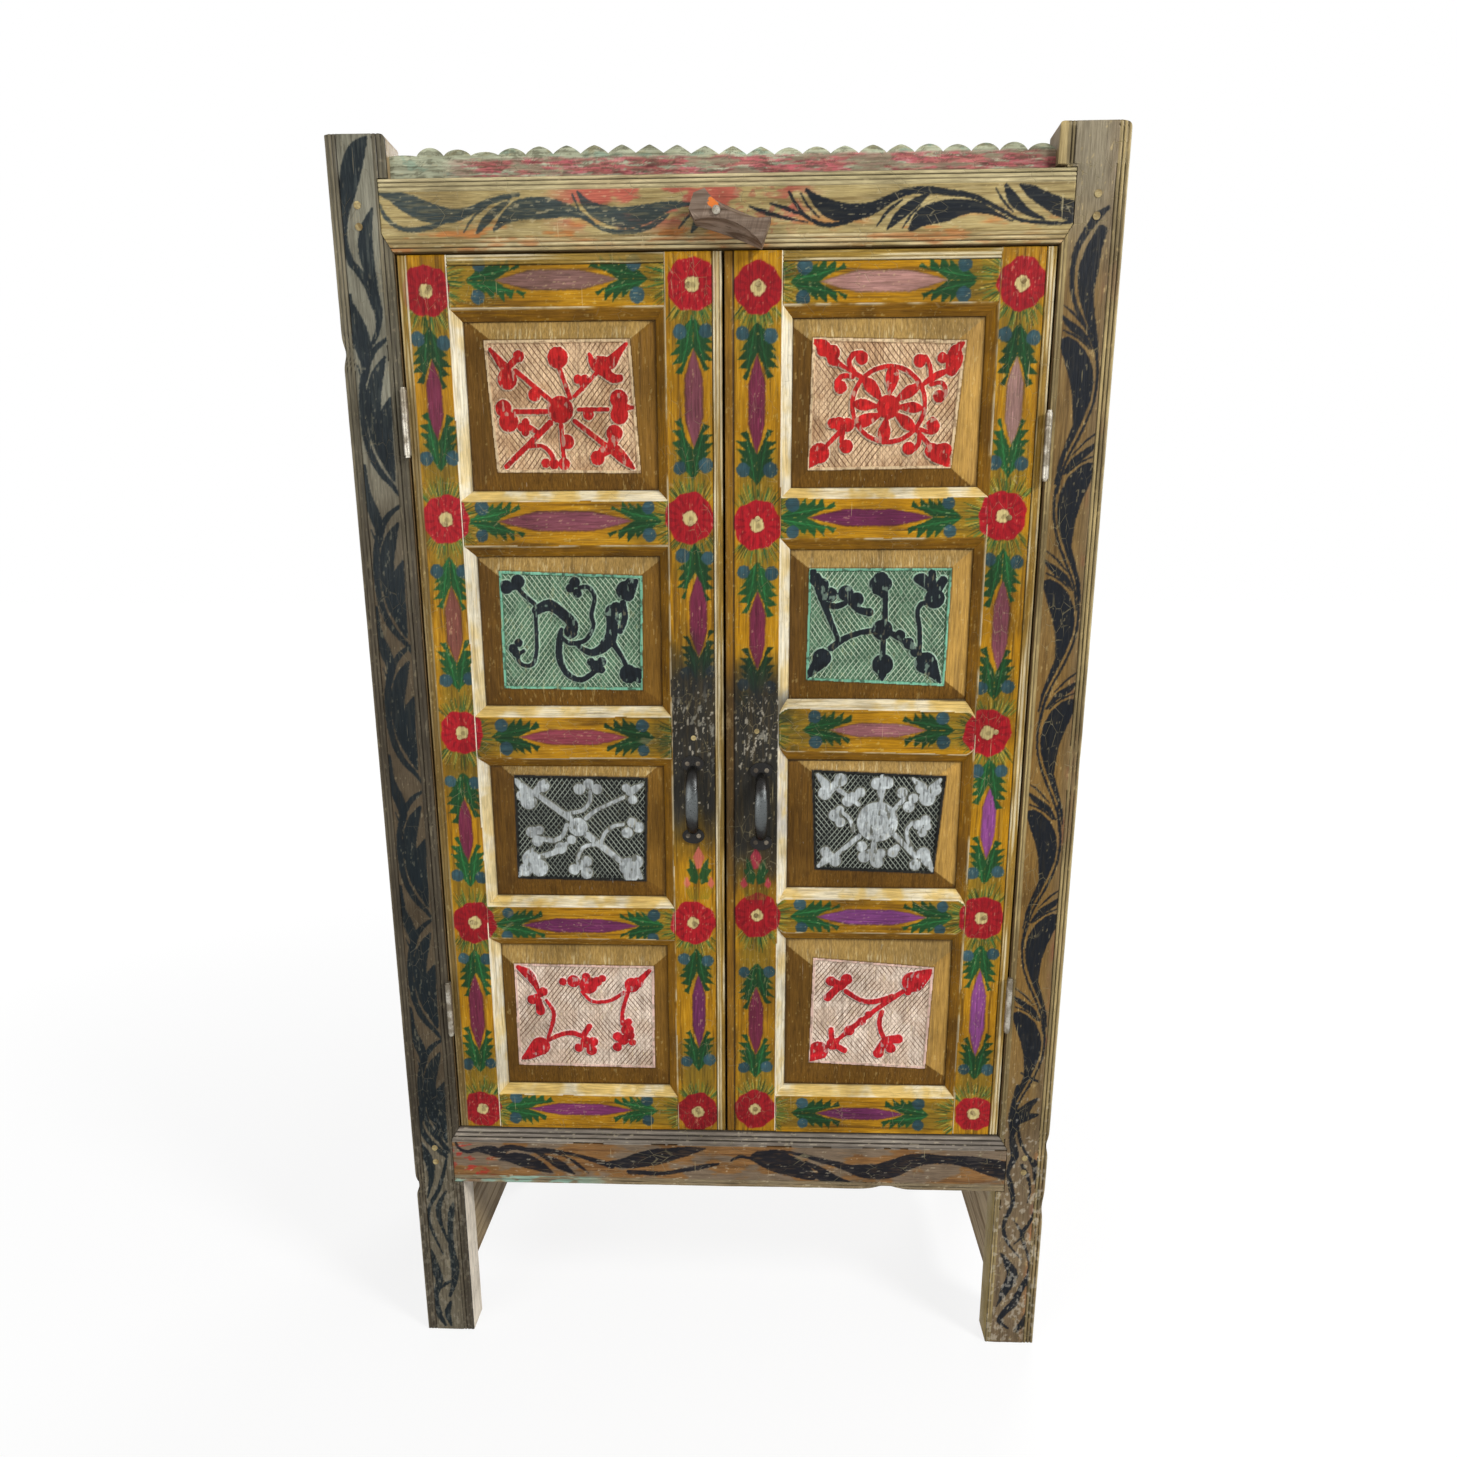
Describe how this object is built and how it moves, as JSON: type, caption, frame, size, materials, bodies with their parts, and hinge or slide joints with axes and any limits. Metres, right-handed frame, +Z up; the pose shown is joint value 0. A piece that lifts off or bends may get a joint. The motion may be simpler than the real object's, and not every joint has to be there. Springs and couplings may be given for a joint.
{
  "type": "wardrobe",
  "caption": "Painted wooden wardrobe with a pair of panelled hinged doors, bow handles, a turn latch, a hat shelf and a hanging rail, standing on its corner posts.",
  "frame": {"origin": "on the floor, under the middle of the wardrobe's outer box", "axes": "+X to the right seen from the front, +Y from the doors to the back, +Z up"},
  "size_m": [0.97, 0.511, 1.704],
  "materials": {
    "post_paint_dark": "worn dark grey-brown paint with a blue-black vine",
    "post_paint_tan": "worn tan paint with a blue-black leaf scroll",
    "rail_paint": "worn tan and orange paint with a blue-black leaf scroll",
    "crest_paint": "worn grey-green and crimson paint",
    "door_ochre": "worn mustard-ochre paint with rosettes and leaves",
    "panel_warm": "carved panel, red relief on a pale pink ground",
    "panel_green": "carved panel, black relief on a celadon ground",
    "panel_black": "carved panel, silver relief on a black ground",
    "raw_wood": "aged unpainted boards",
    "latch_wood": "hand-carved dark wood, worn smooth",
    "peg_wood": "end grain of wooden pegs",
    "hinge_steel": "old steel, dulled",
    "handle_iron": "dark handled iron, worn bright on the edges"
  },
  "bodies": {
    "cabinet": {"back_boards": "raw_wood", "board_cleats": "raw_wood", "bottom_front_rail": "rail_paint", "crest_board": "crest_paint", "door_stop_strip": "raw_wood", "floor_boards": "raw_wood", "frame_hinge_leaves": "hinge_steel", "frame_hinge_screws": "hinge_steel", "frame_pegs": "peg_wood", "hanging_rail": "hinge_steel", "hanging_rail_sockets": "hinge_steel", "hat_shelf": "raw_wood", "hinge_pins": "hinge_steel", "latch_nail": "hinge_steel", "left_front_post": "post_paint_dark", "left_rear_post": "raw_wood", "left_side_boards": "raw_wood", "left_side_bottom_rail": "raw_wood", "left_side_top_rail": "raw_wood", "rear_bottom_rail": "raw_wood", "rear_top_rail": "raw_wood", "right_front_post": "post_paint_tan", "right_rear_post": "raw_wood", "right_side_boards": "raw_wood", "right_side_bottom_rail": "raw_wood", "right_side_top_rail": "raw_wood", "roof_boards": "raw_wood", "top_front_rail": "rail_paint"},
    "left_door": {"left_door_bottom_rail": "door_ochre", "left_door_handle": "handle_iron", "left_door_hinge_leaves": "hinge_steel", "left_door_inner_stile": "door_ochre", "left_door_outer_stile": "door_ochre", "left_door_panel_1": "panel_warm", "left_door_panel_2": "panel_green", "left_door_panel_3": "panel_black", "left_door_panel_4": "panel_warm", "left_door_pegs": "peg_wood", "left_door_rail_2": "door_ochre", "left_door_rail_3": "door_ochre", "left_door_rail_4": "door_ochre", "left_door_screws": "hinge_steel", "left_door_top_rail": "door_ochre"},
    "right_door": {"right_door_bottom_rail": "door_ochre", "right_door_handle": "handle_iron", "right_door_hinge_leaves": "hinge_steel", "right_door_inner_stile": "door_ochre", "right_door_outer_stile": "door_ochre", "right_door_panel_1": "panel_warm", "right_door_panel_2": "panel_green", "right_door_panel_3": "panel_black", "right_door_panel_4": "panel_warm", "right_door_pegs": "peg_wood", "right_door_rail_2": "door_ochre", "right_door_rail_3": "door_ochre", "right_door_rail_4": "door_ochre", "right_door_screws": "hinge_steel", "right_door_top_rail": "door_ochre"},
    "latch": {"turn_latch": "latch_wood"}
  },
  "joints": [
    {"name": "left_door_hinge", "type": "hinge", "parent": "cabinet", "child": "left_door", "pos_m": [-0.4088, -0.2293, 0.9685], "axis": [0, 0, -1], "range_deg": [0, 170]},
    {"name": "right_door_hinge", "type": "hinge", "parent": "cabinet", "child": "right_door", "pos_m": [0.4088, -0.2293, 0.96], "axis": [0, 0, 1], "range_deg": [0, 170]},
    {"name": "latch_turn", "type": "hinge", "parent": "cabinet", "child": "latch", "pos_m": [-0.007, -0.2375, 1.607], "axis": [0, 1, 0], "continuous": true}
  ]
}
